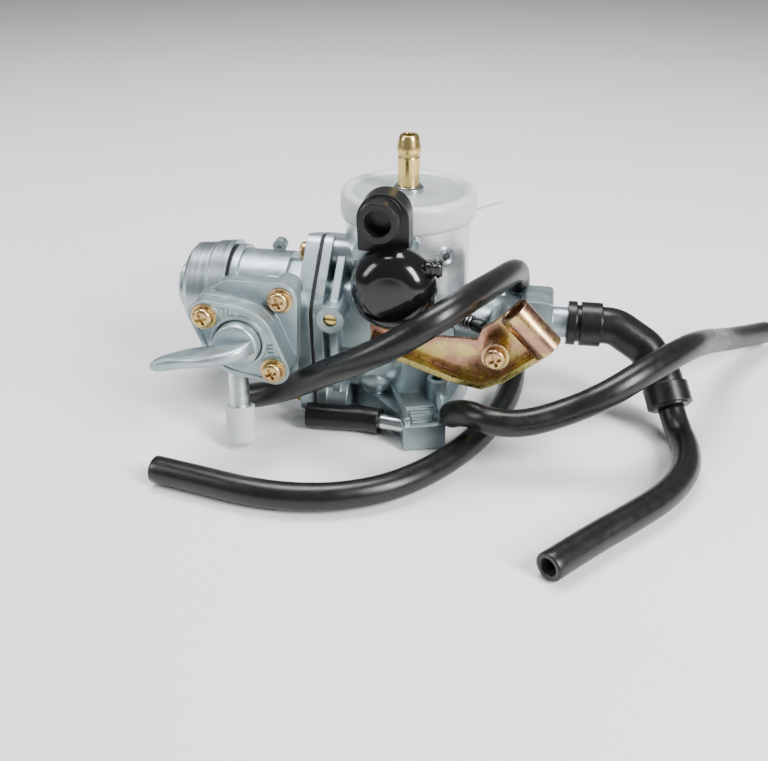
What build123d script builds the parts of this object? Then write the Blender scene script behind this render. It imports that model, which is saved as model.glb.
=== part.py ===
"""Slide carburetor for a small motorcycle, as an assembly of separate pieces, in millimetres.

The origin is on the axis of the slide barrel, in the face of the engine flange. +Z runs up the
barrel to the cable guide, -Y is the side of the fuel tap, and -X is the side of the float bowl.
"""
from build123d import *
from math import cos, pi, radians, sin, tan
import os

# Slide barrel and engine flange
FLANGE_T = 7.5
FLANGE_TURN = -90 + 16.8
FLANGE_R = 19.0
BOLT_OFFSET = 26.0
BOLT_R = 3.0
BOLT_DEPTH = 5.5
EAR_R = 8.0
BLOCK_W = 11.5
BLOCK_END = 36.0
SPIGOT_R = 12.5
SPIGOT_DEPTH = 3.5
THROAT_R = 10.0
BARREL_R = 17.5
BARREL_TOP = 57.0
CHAMBER_R = 12.0
CHAMBER_FLOOR = 12.0

# Throttle slide, needle and jets
SLIDE_R = 11.95
SLIDE_BOTTOM = 13.0
SLIDE_TOP = 40.0
SLIDE_WEB = (27.0, 30.0)
SKIRT_R = 9.8
POCKET_R = 8.6
NEEDLE_R = 1.1
NEEDLE_JET_R = 2.5
POST_R = 4.0
POST_TOP = 20.0
SPRING_R = 7.0
WIRE_R = 0.55

# Barrel cap and cable guide
CAP_R = 18.8
CAP_BOTTOM = 55.0
CAP_TOP = 62.5
CAP_DISC_R = 15.8
CAP_DISC_DEPTH = 0.8
GUIDE_R = 3.0
GUIDE_TOP = 77.0
RING_R = 4.2

# Air inlet at the back and vent neck at the right
INLET_Z = 24.0
INLET_R = 14.5
INLET_ROOT_R = 13.8
INLET_COLLAR_R = 16.0
INLET_SEAT = 22.0
INLET_END = 34.0
NECK_Z = 25.2
NECK_R = 6.5
HEAD_X = (33.2, 42.2)
HEAD_TOP = 33.4
STEM_R = 3.6
STEM_SHOULDER = 46.5

# Choke plunger, front port cap
CHOKE_X, CHOKE_Y = -2.7, -23.9
CHOKE_BORE_R = 2.35
PLUNGER_R = 2.3
LEDGE_TOP = 54.0
SOCKET_Z = 63.3
PORT_X, PORT_Y, PORT_Z = 0.9, -29.0, 45.3
PORT_CAP_R = 11.3
PORT_BOSS_R = 6.0

# Float bowl, outline in (y, z) as circles that the outline wraps
JOINT_X = -22.0
GASKET_T = 1.0
BOWL_FLANGE_T = 4.0
BOWL_OUTLINE = [(6, 41, 4.5), (-7, 45, 4.8), (-20.5, 33, 5.0), (-18.5, 5.5, 5.2), (10.5, 13.5, 5.0)]
SPACER_OUTLINE = [(5.5, 40, 4.0), (-7, 43.6, 4.2), (-20, 33, 4.4), (-18, 8, 4.4), (9.5, 14.5, 4.4)]
BOWL_SCREWS = [(-7, 44.5), (-18.5, 5.5), (11, 13.5), (8, 38.5)]
BOWL_BLOCK = [(0, 34, 5.0), (-14, 29, 5.0), (-12, 13, 5.5), (3, 17, 5.0)]
BOWL_WALL = 2.0
BOWL_BACK = -34.0
FLOAT_OUTLINE = [(-10, 15, 3.0), (0, 17.5, 2.5), (-1, 27, 2.5), (-11, 26, 2.5)]
HINGE_X, HINGE_Z = -17.5, 32.0
INLET_NEEDLE_Y, INLET_NEEDLE_Z = -12.5, 28.0

# Strainer along -X
STRAINER_Z = 28.5
STUB_R = 12.3
STUB_END = -51.2
CUP_RIM_R = 14.6
CUP_END = -64.4
CUP_WALL = 2.0

# Fuel tap facing -Y, outlines in (x, z)
TAP_X, TAP_Z = -37.9, 32.0
TAP_BACK = -34.0
TAP_PLATE_START = -30.0
TAP_SEAT = -37.0
TAP_FACE = -41.0
TAP_DISC_R = 6.05
TAP_HOLE_R = 6.4
TAP_PIN_R = 3.0
COVER_SCREWS = [(-46.5, 38.8), (-29.0, 24.6)]
BODY_SCREW = (-28.2, 41.5)
LEVER_TURN = 190.0

# Cable bracket
BRACKET_Y = -23.0
SHEET_T = 1.5
BRACKET_SCREW = (27.9, 28.2)
CLAMP_R = 4.2
CLAMP_BORE_R = 3.1

# Hoses
HOSE_R = 3.6
NIPPLE_R = 2.2

BASE = (Align.CENTER, Align.CENTER, Align.MIN)
pieces = {}


def rod(start, end, radius):
    """A round bar from one point to another."""
    span = Vector(*end) - Vector(*start)
    return Plane(origin=start, z_dir=span) * Cylinder(radius, span.length, align=BASE)


def cone(start, end, first, last):
    """A round taper from one point to another."""
    span = Vector(*end) - Vector(*start)
    return Plane(origin=start, z_dir=span) * Cone(first, last, span.length, align=BASE)


def box(x0, x1, y0, y1, z0, z1):
    """A block between two corners."""
    place = Pos((x0 + x1) / 2, (y0 + y1) / 2, (z0 + z1) / 2)
    return place * Box(x1 - x0, y1 - y0, z1 - z0)


def facing_x(x):
    """A plane at x whose local coordinates are (y, z), looking along +X."""
    return Plane(origin=(x, 0, 0), x_dir=(0, 1, 0), z_dir=(1, 0, 0))


def facing_front(y):
    """A plane at y whose local coordinates are (x, z), looking along -Y."""
    return Plane(origin=(0, y, 0), x_dir=(1, 0, 0), z_dir=(0, -1, 0))


def wrapped(plane, circles, depth, inset=0.0):
    """A plate whose outline wraps a set of circles, each (u, v, radius)."""
    with BuildSketch(plane) as outline:
        for u, v, radius in circles:
            with Locations((u, v)):
                Circle(radius - inset)
        make_hull()
    return extrude(outline.sketch, amount=depth)


def turned(plane, profile):
    """A turned piece about the plane's local Y axis, from (radius, height) points."""
    with BuildSketch(plane) as section:
        with BuildLine():
            Polyline(*profile, close=True)
        make_face()
    axis = Axis(plane.origin, plane.y_dir)
    return revolve(section.sketch, axis=axis, revolution_arc=360)


def turned_x(profile, z=STRAINER_Z):
    """A turned piece about the line y=0 at z, from (radius, x) points."""
    with BuildSketch(Plane(origin=(0, 0, z), x_dir=(1, 0, 0), z_dir=(0, -1, 0))) as section:
        with BuildLine():
            Polyline(*[(x, radius) for radius, x in profile], close=True)
        make_face()
    return revolve(section.sketch, axis=Axis((0, 0, z), (1, 0, 0)), revolution_arc=360)


def coil(start, axis, radius, height, turns, wire):
    """A round-wire helical spring from start along axis."""
    plane = Plane(origin=start, z_dir=axis)
    line = Helix(pitch=height / turns, height=height, radius=radius)
    section = Plane(origin=line @ 0, z_dir=line % 0) * Circle(wire)
    return plane * sweep(section, path=line)


def cross_head_screw(seat, direction, head_r, head_t, shank_r, length, washer_r=0.0):
    """A pan-head screw with a cross recess, its head standing off the seat along direction."""
    seat = Vector(*seat)
    out = Vector(*direction).normalized()
    washer_t = 0.6 if washer_r else 0.0
    top = seat + out * (head_t + washer_t)
    screw = rod(seat - out * length, seat, shank_r) + rod(seat, top, head_r)
    rims = screw.edges().filter_by(GeomType.CIRCLE)
    screw = fillet(rims.sort_by(lambda rim: (rim.arc_center - top).length)[0], 0.9)
    if washer_r:
        screw += rod(seat, seat + out * washer_t, washer_r)
    slot = Plane(origin=top - out * 1.1, z_dir=out)
    for turn in (20, 110):
        screw -= slot * Rot(0, 0, turn) * Box(head_r * 1.15, 0.8, 3, align=BASE)
    return screw


def hose(points):
    """A round hose along runs joined by arcs as large as the runs allow, with its arc radii."""
    points = [Vector(*p) for p in points]
    radii = []
    for before, here, after in zip(points, points[1:], points[2:]):
        turn = radians((here - before).get_angle(after - here))
        room_before = (here - before).length * (0.9 if before is points[0] else 0.45)
        room_after = (after - here).length * 0.45
        radii.append(min(room_before, room_after) / tan(turn / 2))
    line = FilletPolyline(*points, radius=radii)
    section = Plane(origin=points[0], z_dir=points[1] - points[0]) * Circle(HOSE_R)
    tube = sweep(section, path=line)
    expected = line.length * pi * HOSE_R**2
    print("hose: length", round(line.length, 1), "volume ratio", round(tube.volume / expected, 3),
          "arc radii", [round(r, 1) for r in radii])
    return tube


def flange_point(distance, across=0.0):
    """A point of the flange's face, by distance along its long axis and offset across it."""
    a = radians(FLANGE_TURN)
    return (distance * cos(a) - across * sin(a), distance * sin(a) + across * cos(a))


# ---------------------------------------------------------------- small fittings and hoses
hose_exits = {
    "upper": ((31.5, 11, 25), (31.5, 11, 30)),
    "lower": ((31.5, 11, 23), (31.5, 11, 18)),
    "side": ((13.2, -27.6, 5.8), (17, -31.6, 10)),
    "drain": ((5.1, -30.2, 4.3), (-2.9, -28.3, 3.9)),
}
hose_routes = {
    "upper": [(31.5, 11, 30), (31.5, 11, 35.5), (29.8, 0.5, 39.4), (26.6, -13.5, 42.2),
              (21.8, -27.5, 44.2), (14.6, -40, 43.2), (5.0, -43.5, 37.2), (-6.5, -42, 29.8),
              (-16.8, -37, 22.5), (-26, -31.5, 15), (-37, -28, 8.8), (-43.2, -26.9, 7.0)],
    "lower": [(31.5, 11, 18), (31.5, 11, 10.5), (32.6, 4, 4.4), (31.4, -9, 3.7), (27.2, -25.5, 3.7),
              (19.4, -42.2, 3.7), (7.4, -56.8, 3.7), (-5.2, -64, 3.7), (-18, -66.6, 3.7),
              (-31, -66.0, 3.7), (-44, -63.2, 3.7), (-56.2, -60.9, 3.7)],
    "side": [(17, -31.6, 10), (20.8, -35.6, 14.2), (27.4, -41.2, 15), (36.3, -40.6, 14.6),
             (47.2, -36.8, 17.2), (56.8, -35.4, 22.4), (66.2, -28.6, 26.5), (78, -14.6, 27.5),
             (85.8, 2.4, 21.4), (94, 21.4, 13), (103.9, 35.6, 8), (113.4, 48, 4.4)],
    "elbow": [(76.6, -14.5, 8.4), (78.4, -18.6, 4.3), (80.2, -27.5, 3.8), (79.0, -38.5, 3.8),
              (73.2, -49.6, 3.7), (63.6, -60.6, 3.7), (53.9, -70.7, 3.7), (44.5, -81.8, 3.7)],
}
nipples = {name: rod(*ends, NIPPLE_R) - rod(*ends, 1.3) for name, ends in hose_exits.items()}
pieces["hose_nipples"] = Compound(children=[n for n in nipples.values()])
for name, route in hose_routes.items():
    pieces["hose_" + name] = hose(route)
stub_line = FilletPolyline((-2.9, -28.3, 3.9), (-8.0, -27.4, 3.7), (-24.0, -28.2, 3.7), radius=8)
stub_section = Plane(origin=stub_line @ 0, z_dir=stub_line % 0) * (Circle(HOSE_R) - Circle(NIPPLE_R))
pieces["drain_hose_stub"] = sweep(stub_section, path=stub_line)

# ---------------------------------------------------------------- body casting
flange_plane = Plane(origin=(0, 0, 0), x_dir=(*flange_point(1), 0), z_dir=(0, 0, 1))
flange_outline = [(0, 0, FLANGE_R), (-BOLT_OFFSET, 0, EAR_R), (29, 4.2, 1.5), (29, -4.2, 1.5)]
body = wrapped(flange_plane, flange_outline, FLANGE_T)
end_block = Pos((BLOCK_END + 22) / 2, 0, FLANGE_T / 2) * Box(BLOCK_END - 22, BLOCK_W, FLANGE_T)
body += flange_plane * end_block
body += rod((0, 0, 0), (0, 0, BARREL_TOP), BARREL_R)
for across in (-5.0, 5.0):
    rib = Pos(22, across * 1.15, FLANGE_T) * Rot(0, 0, -across) * Box(26, 1.4, 4.4)
    body += flange_plane * rib
body += rod((11.5, -17, FLANGE_T), (11.5, -17, 13), 3.0)

# Float-bowl side of the casting, with its screw bosses
body += wrapped(facing_x(JOINT_X), BOWL_OUTLINE, 2.6)
body += wrapped(facing_x(JOINT_X + 4.2), SPACER_OUTLINE, 2.2)
body += wrapped(facing_x(JOINT_X + 2), [(-12, 33, 6), (-12, 14, 7), (8, 14, 6), (8, 36, 6)], 15)
body += rod((-19, -12.5, 15.5), (-5.5, -12.5, 15.5), 8.4)
body += Pos(-5.5, -12.5, 15.5) * Sphere(8.4)
body += Pos(-6.5, -17.0, 11.5) * Sphere(4.8)
for y, z in BOWL_SCREWS:
    body += rod((JOINT_X, y, z), (-13.5, y, z), 4.4 if z > 10 else 5.2)
body += rod((-17, -14, 33), (-17, -26.5, 33), 3.9)

# Ledge with the choke bore, and the boss under the front port cap
body += rod((CHOKE_X, CHOKE_Y, 34), (CHOKE_X, CHOKE_Y, LEDGE_TOP), 4.2)
body += box(-10.2, 4.6, -27, -8, LEDGE_TOP - 3, LEDGE_TOP)
body += box(-6.9, 1.5, -24, -8, 34, LEDGE_TOP - 1)
body += rod((PORT_X, -10, PORT_Z), (PORT_X, -31, PORT_Z), PORT_BOSS_R)

# Air inlet at the back, with a collar that a duct butts against
body += rod((0, 10, INLET_Z), (0, INLET_SEAT, INLET_Z), INLET_ROOT_R)
body += rod((0, INLET_SEAT - 2, INLET_Z), (0, INLET_SEAT, INLET_Z), INLET_COLLAR_R)
body += rod((0, INLET_SEAT, INLET_Z), (0, INLET_END, INLET_Z), INLET_R)

# Idle screw boss and the plugged drilling near the barrel's top
IDLE_DIR = Vector(0.84, -0.5426, 0)
IDLE_AT = Vector(0, 0, 29)
PLUG_DIR = Vector(0.704, -0.710, 0)
PLUG_AT = Vector(0, 0, 48.0)
body += rod(IDLE_AT + IDLE_DIR * 14, IDLE_AT + IDLE_DIR * 20, 3.2)
body += rod(PLUG_AT + PLUG_DIR * 14, PLUG_AT + PLUG_DIR * 18.2, 2.7)
body += rod((4.0, -15.5, 53), (4.4, -18.6, 53), 1.5)

# Hollows
body -= rod((0, 0, CHAMBER_FLOOR), (0, 0, BARREL_TOP + 1), CHAMBER_R)
body -= rod((0, 0, -1), (0, 0, CHAMBER_FLOOR + 1), THROAT_R)
body -= rod((0, 0, -1), (0, 0, SPIGOT_DEPTH), SPIGOT_R)
body -= cone((0, 8, INLET_Z), (0, INLET_END, INLET_Z), 8.5, SPIGOT_R)
for side in (-1, 1):
    x, y = flange_point(side * BOLT_OFFSET)
    body -= rod((x, y, -1), (x, y, BOLT_DEPTH), BOLT_R)
POCKET = -14.5
body -= wrapped(facing_x(JOINT_X - 1), BOWL_BLOCK, POCKET - JOINT_X + 1, inset=BOWL_WALL)
body -= rod((11.5, -17, 9.5), (11.5, -17, 14), 1.6)
body -= flange_plane * (Pos(30, 0, FLANGE_T) * Box(8.5, 8.2, 1.4))
body += box(-11.5, 0, -2.2, 2.2, 4, CHAMBER_FLOOR) + rod((0, 0, 4), (0, 0, POST_TOP), POST_R)
body -= rod((0, 0, 7), (0, 0, POST_TOP + 1), NEEDLE_JET_R)
body -= rod((0, 0, 5), (0, 0, 8), 1.6)
body -= rod((-13.3, 0, 16.5), (-13.3, 0, 5.2), 0.75)
body -= rod((-13.3, 0, 6), (0, 0, 6), 0.75)
body -= rod((CHOKE_X, CHOKE_Y, 36.5), (CHOKE_X, CHOKE_Y, LEDGE_TOP + 1), CHOKE_BORE_R)
body -= rod((CHOKE_X, CHOKE_Y, 38), (CHOKE_X + 1, -8, 38), 1.0)
body -= rod((PORT_X, -32, PORT_Z), (PORT_X, -20, PORT_Z), 3.0)
for name in ("side", "drain"):
    body -= rod(*hose_exits[name], NIPPLE_R)

# Generic raised bars on the block's pad
for offset in (27.6, 29.2, 30.8, 32.4):
    body += flange_plane * (Pos(offset, 0, FLANGE_T - 0.5) * Box(0.7, 5.6, 0.5))

# ---------------------------------------------------------------- vent neck with its head and hose boss
BRACKET_BOSS_Z = BRACKET_SCREW[1] - 0.3
neck_profile = [(0, 12), (10.0, 12), (NECK_R, 25), (NECK_R, HEAD_X[0] + 1), (0, HEAD_X[0] + 1)]
vent_head = turned_x(neck_profile, NECK_Z)
head = box(*HEAD_X, -6, 6, 18.5, HEAD_TOP)
vent_head += fillet(head.edges().filter_by(Axis.Y), 1.6)
vent_head += box(28, 35, 4, 14.5, 19, 29)
vent_head += rod((HEAD_X[1], 0, NECK_Z), (STEM_SHOULDER, 0, NECK_Z), 4.4)
vent_head += rod((HEAD_X[1], 0, NECK_Z), (54, 0, NECK_Z), STEM_R)
boss_start = (BRACKET_SCREW[0], -3, BRACKET_BOSS_Z)
boss_end = (BRACKET_SCREW[0], BRACKET_Y, BRACKET_BOSS_Z)
vent_head += rod(boss_start, boss_end, 3.1)
vent_head -= rod((0, 0, 0), (0, 0, BARREL_TOP), BARREL_R)
vent_head -= rod(IDLE_AT + IDLE_DIR * 12, IDLE_AT + IDLE_DIR * 24, 3.3)
vent_head -= rod((55, 0, NECK_Z), (20, 0, NECK_Z), 2.2)
vent_head -= rod((31.5, 11, 24), (31.5, 0, 24), 1.3)
for name in ("upper", "lower"):
    vent_head -= rod(*hose_exits[name], NIPPLE_R)

# ---------------------------------------------------------------- jets, needle and slide
needle_jet = rod((0, 0, 7), (0, 0, 22), NEEDLE_JET_R)
needle_jet -= rod((0, 0, 6), (0, 0, 23), NEEDLE_R + 0.1)
pieces["needle_jet"] = needle_jet
main_jet = rod((-17.3, 0, 16.5), (POCKET + 0.4, 0, 16.5), 2.0) - rod((-18, 0, 16.5), (-14, 0, 16.5), 0.5)
main_jet -= box(-17.4, -16.6, -0.4, 0.4, 14, 19)
body -= rod((POCKET - 1, 0, 16.5), (POCKET + 0.4, 0, 16.5), 2.0)
pieces["main_jet"] = main_jet
pilot_jet = rod((-17.5, -8, 17), (-11, -8, 17), 1.5) - rod((-18, -8, 17), (-10, -8, 17), 0.4)
pilot_jet -= box(-17.6, -16.9, -8.35, -7.65, 15, 19)
body -= rod((POCKET - 1, -8, 17), (-11, -8, 17), 1.5)
pieces["pilot_jet"] = pilot_jet

slide = rod((0, 0, SLIDE_BOTTOM), (0, 0, SLIDE_TOP), SLIDE_R)
slide -= rod((0, 0, SLIDE_BOTTOM - 1), (0, 0, SLIDE_WEB[0]), SKIRT_R)
slide -= rod((0, 0, SLIDE_WEB[1]), (0, 0, SLIDE_TOP + 1), POCKET_R)
slide -= rod((0, 0, SLIDE_WEB[0] - 1), (0, 0, SLIDE_WEB[1] + 1), NEEDLE_R)
slide -= rod((4.4, 0, SLIDE_WEB[0] - 1), (4.4, 0, SLIDE_WEB[1] + 1), 1.2)
groove = Box(3, 3.6, 20, align=(Align.MIN, Align.CENTER, Align.MIN))
idle_turn = Rot(0, 0, -32.9)
slide -= idle_turn * Pos(10.3, 0, SLIDE_BOTTOM - 1) * groove
cutaway = Pos(0, 12, SLIDE_BOTTOM) * Rot(20, 0, 0) * Box(30, 12, 7)
slide -= cutaway
pieces["throttle_slide"] = slide

needle = cone((0, 0, 5.8), (0, 0, 22), 0.5, NEEDLE_R) + rod((0, 0, 22), (0, 0, 34), NEEDLE_R)
needle -= rod((0, 0, 30.9), (0, 0, 31.5), 2) - rod((0, 0, 30.9), (0, 0, 31.5), 0.8)
pieces["jet_needle"] = needle
clip = rod((0, 0, 30.9), (0, 0, 31.5), 2.8) - rod((0, 0, 30.8), (0, 0, 31.6), 0.8)
pieces["needle_clip"] = clip - box(-0.75, 0.75, 0, 4, 30, 32)
spring_low = SLIDE_WEB[1] + 0.1 + WIRE_R
spring_high = BARREL_TOP - 0.1 - WIRE_R
spring_length = spring_high - spring_low
pieces["slide_spring"] = coil((0, 0, spring_low), (0, 0, 1), SPRING_R, spring_length, 8, WIRE_R)

# ---------------------------------------------------------------- barrel cap and cable guide
cap_profile = [(GUIDE_R, BARREL_TOP), (BARREL_R, BARREL_TOP), (BARREL_R, CAP_BOTTOM),
               (CAP_R - 0.8, CAP_BOTTOM), (CAP_R, CAP_BOTTOM + 1.2), (CAP_R, CAP_TOP - 1.4),
               (CAP_R - 1.4, CAP_TOP), (CAP_DISC_R + 0.7, CAP_TOP),
               (CAP_DISC_R, CAP_TOP - CAP_DISC_DEPTH), (GUIDE_R, CAP_TOP - CAP_DISC_DEPTH)]
upright = Plane(origin=(0, 0, 0), x_dir=(1, 0, 0), z_dir=(0, -1, 0))
tie = rod((17.8, 1.0, 57.2), (25.6, 4.4, 59.0), 0.8)
pieces["cap_tie"] = tie
pieces["barrel_cap"] = turned(upright, cap_profile) - tie
ring_low = CAP_TOP - CAP_DISC_DEPTH
ring_profile = [(GUIDE_R, ring_low), (RING_R, ring_low), (RING_R, 62.7), (RING_R - 0.6, 63.3),
                (GUIDE_R, 63.3)]
pieces["cap_ring"] = turned(upright, ring_profile)
guide_profile = [(1.5, 55), (5, 55), (5, BARREL_TOP), (GUIDE_R, BARREL_TOP), (GUIDE_R, 71.0),
                 (GUIDE_R - 0.25, 71.3), (GUIDE_R + 0.3, 72.4), (GUIDE_R + 0.25, 73.6),
                 (GUIDE_R - 0.35, GUIDE_TOP - 0.5), (GUIDE_R - 0.7, GUIDE_TOP), (1.5, GUIDE_TOP)]
pieces["cable_guide"] = turned(upright, guide_profile)

# ---------------------------------------------------------------- adjusting screws
idle_screw = rod(IDLE_AT + IDLE_DIR * 12.1, IDLE_AT + IDLE_DIR * 25.5, 1.4)
idle_screw += rod(IDLE_AT + IDLE_DIR * 25.5, IDLE_AT + IDLE_DIR * 28, 2.0)
idle_slot = Plane(origin=IDLE_AT + IDLE_DIR * 27.2, z_dir=IDLE_DIR)
idle_screw -= idle_slot * Box(6, 0.8, 2, align=BASE)
pieces["idle_screw"] = idle_screw
body -= rod(IDLE_AT + IDLE_DIR * 10, IDLE_AT + IDLE_DIR * 22, 1.45)
pieces["idle_screw_spring"] = coil(IDLE_AT + IDLE_DIR * 20.5, IDLE_DIR, 1.95, 4.4, 4, 0.35)
plug = rod(PLUG_AT + PLUG_DIR * 15, PLUG_AT + PLUG_DIR * 17.6, 1.4)
pieces["barrel_plug"] = plug
body -= rod(PLUG_AT + PLUG_DIR * 17.6, PLUG_AT + PLUG_DIR * 19, 1.9) + plug
mixture = cone((-17, -16.5, 33), (-17, -18.5, 33), 0.6, 1.8)
mixture += rod((-17, -18.5, 33), (-17, -25.6, 33), 1.8)
mixture -= box(-20, -14, -26, -25.0, 32.65, 33.35)
pieces["mixture_screw"] = mixture
body -= rod((-17, -16, 33), (-17, -27, 33), 1.85)

# ---------------------------------------------------------------- choke plunger and its cable elbow
pieces["choke_plunger"] = rod((CHOKE_X, CHOKE_Y, 37), (CHOKE_X, CHOKE_Y, 50), PLUNGER_R)
elbow_outline = [(-2.4, 62.3, 6.7), (-8.2, LEDGE_TOP + 0.6, 0.6), (3.8, LEDGE_TOP + 0.6, 0.6)]
elbow_cap = wrapped(facing_front(-20.5), elbow_outline, 6.8)
elbow_cap += rod((CHOKE_X, -27, SOCKET_Z), (CHOKE_X, -33, SOCKET_Z), 5.2)
elbow_cap -= rod((CHOKE_X, -28.5, SOCKET_Z), (CHOKE_X, -34, SOCKET_Z), 3.4)
elbow_cap -= rod((CHOKE_X, CHOKE_Y, 52), (CHOKE_X, CHOKE_Y, 63.2), CHOKE_BORE_R)
pieces["choke_elbow"] = elbow_cap
pieces["choke_spring"] = coil((CHOKE_X, CHOKE_Y, 50.5), (0, 0, 1), 1.75, 12, 6, 0.35)

# ---------------------------------------------------------------- rubber cap on the front port
port_cap = Pos(PORT_X, PORT_Y, PORT_Z) * Sphere(PORT_CAP_R)
port_cap &= box(-20, 20, -37.4, -27.4, 30, 60)
port_cap -= rod((PORT_X, -26, PORT_Z), (PORT_X, -31, PORT_Z), PORT_BOSS_R)
port_cap -= rod((CHOKE_X, CHOKE_Y, 27), (CHOKE_X, CHOKE_Y, 60), 4.4)
for step in range(3):
    y = -28.6 - 1.7 * step
    port_cap += box(9.0, 13.8 - 0.4 * step, y - 1.0, y, 49.6, 54.2 - 0.3 * step)
port_cap += box(8.0, 13.0, -33, -27.8, 50.0, 53.6)
pieces["front_port_cap"] = port_cap

# ---------------------------------------------------------------- float bowl and what is in it
gasket = wrapped(facing_x(JOINT_X - GASKET_T), BOWL_OUTLINE, GASKET_T)
gasket -= wrapped(facing_x(JOINT_X - 2), BOWL_BLOCK, 4, inset=BOWL_WALL)
bowl_face = JOINT_X - GASKET_T
bowl_seat = bowl_face - BOWL_FLANGE_T
bowl = wrapped(facing_x(bowl_seat), BOWL_OUTLINE, BOWL_FLANGE_T)
bowl += wrapped(facing_x(BOWL_BACK), BOWL_BLOCK, bowl_face - BOWL_BACK)
bowl += rod((BOWL_BACK, 0, STRAINER_Z), (-49.2, 0, STRAINER_Z), STUB_R)
bowl += rod((-48.2, 0, STRAINER_Z), (-50.4, 0, STRAINER_Z), 13.4)
bowl += rod((-50.4, 0, STRAINER_Z), (STUB_END, 0, STRAINER_Z), 10.9)
bowl += rod((-38.2, 1, 42.3), (-38.2, 4, 42.3), 2.0) + box(-39.2, -37.2, 1, 4, 39, 41.2)
tap_outline = [(*BODY_SCREW, 4.6), (-41.5, 41, 5.0), (TAP_X, TAP_Z, 11.9), (-29, 24.6, 4.4)]
bowl += wrapped(facing_front(TAP_PLATE_START), tap_outline, TAP_PLATE_START - TAP_BACK)
bowl += rod((TAP_X, -4, 27.5), (TAP_X, TAP_PLATE_START - 1, 30.5), 9.0)
bowl += rod((BODY_SCREW[0], TAP_PLATE_START, BODY_SCREW[1]), (BODY_SCREW[0], -24, BODY_SCREW[1]), 3.6)
cover_outline = [(x, z, 4.3) for x, z in COVER_SCREWS] + [(TAP_X, TAP_Z, 9.9)]
bowl += wrapped(facing_front(TAP_PLATE_START), cover_outline, TAP_PLATE_START - TAP_SEAT)
bowl -= wrapped(facing_x(-32), BOWL_BLOCK, 10, inset=BOWL_WALL)
bowl -= rod((STUB_END - 1, 0, STRAINER_Z), (-37, 0, STRAINER_Z), 7.0)
bowl -= rod((-38.2, 0, 42.3), (-38.2, 5, 42.3), 0.8)
bowl -= rod((TAP_X, TAP_SEAT - 1, TAP_Z), (TAP_X, -32, TAP_Z), TAP_HOLE_R)
bowl -= rod((TAP_X, TAP_SEAT, TAP_Z), (TAP_X, -28, TAP_Z), TAP_PIN_R + 0.05)
bowl -= rod((-43.5, -33, 30), (-43.5, -5, 28.5), 1.3)
bowl -= rod((-33.5, -33, 34.5), (-31, -8, 31), 1.3)

bowl_screws = []
for y, z in BOWL_SCREWS:
    bowl_screws.append(cross_head_screw((bowl_seat, y, z), (-1, 0, 0), 2.8, 2.4, 1.9, 12))
    hole = rod((bowl_seat - 1, y, z), (bowl_seat + 12, y, z), 1.9)
    body -= hole
    gasket -= hole
    bowl -= hole
pieces["bowl_screws"] = Compound(children=bowl_screws)
pieces["bowl_gasket"] = gasket

float_body = wrapped(facing_x(-29.5), FLOAT_OUTLINE, 10.5)
float_body = fillet(float_body.edges().group_by(Axis.X)[0], 1.2)
arm = box(-20.6, -18.7, -13.2, -10.8, 25, 31.5) + box(-20.6, -18.7, -10.8, -2, 27, 30)
arm += box(-19.6, -17.8, -8, -3, 29, 32.5) + rod((HINGE_X, -8, HINGE_Z), (HINGE_X, -3, HINGE_Z), 1.7)
float_body += arm
float_body -= rod((HINGE_X, -9, HINGE_Z), (HINGE_X, -2, HINGE_Z), 0.85)
float_body -= rod((-18.7, INLET_NEEDLE_Y, INLET_NEEDLE_Z), (-12, INLET_NEEDLE_Y, INLET_NEEDLE_Z), 1.4)
pieces["float"] = float_body
pieces["float_pin"] = rod((HINGE_X, -13.5, HINGE_Z), (HINGE_X, 3, HINGE_Z), 0.8)
body += box(-18.5, POCKET + 0.5, -12, -9.6, 30.6, 35) + box(-18.5, POCKET + 0.5, -1.6, 1, 30.6, 36)
body -= rod((HINGE_X, -13.5, HINGE_Z), (HINGE_X, 3, HINGE_Z), 0.8)
needle_start = (-18.6, INLET_NEEDLE_Y, INLET_NEEDLE_Z)
needle_shoulder = (-12, INLET_NEEDLE_Y, INLET_NEEDLE_Z)
needle_tip = (-10.4, INLET_NEEDLE_Y, INLET_NEEDLE_Z)
seat_end = (-8, INLET_NEEDLE_Y, INLET_NEEDLE_Z)
float_needle = rod(needle_start, needle_shoulder, 1.3) + cone(needle_shoulder, needle_tip, 1.3, 0.4)
pieces["float_needle"] = float_needle
seat = rod((-15.6, INLET_NEEDLE_Y, INLET_NEEDLE_Z), seat_end, 2.4)
seat -= rod(needle_start, needle_shoulder, 1.35) + cone(needle_shoulder, needle_tip, 1.35, 0.45)
seat -= rod(needle_shoulder, (-7, INLET_NEEDLE_Y, INLET_NEEDLE_Z), 0.45)
pieces["needle_seat"] = seat
body -= rod((-15.6, INLET_NEEDLE_Y, INLET_NEEDLE_Z), seat_end, 2.4)

# ---------------------------------------------------------------- strainer
cup_floor = CUP_END + CUP_WALL
nub_end = CUP_END - 3.6
cup_profile = [(0, cup_floor), (0, nub_end), (6.2, nub_end), (7.2, nub_end + 0.8), (7.2, CUP_END),
               (11.8, CUP_END), (13.2, CUP_END + 1.4), (13.6, -57.0), (14.1, -56.6),
               (CUP_RIM_R, STUB_END), (9.2, STUB_END), (9.2, cup_floor)]
pieces["strainer_cup"] = turned_x(cup_profile)
seal_profile = [(11.0, -50.45), (13.0, -50.45), (13.0, -51.15), (11.0, -51.15)]
pieces["strainer_seal"] = turned_x(seal_profile)
screen_profile = [(5.5, -60.6), (5.5, -45), (7.0, -45), (7.0, -44.4), (5.1, -44.4), (5.1, -60.2),
                  (0, -60.2), (0, -60.6)]
pieces["strainer_screen"] = turned_x(screen_profile)

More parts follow.
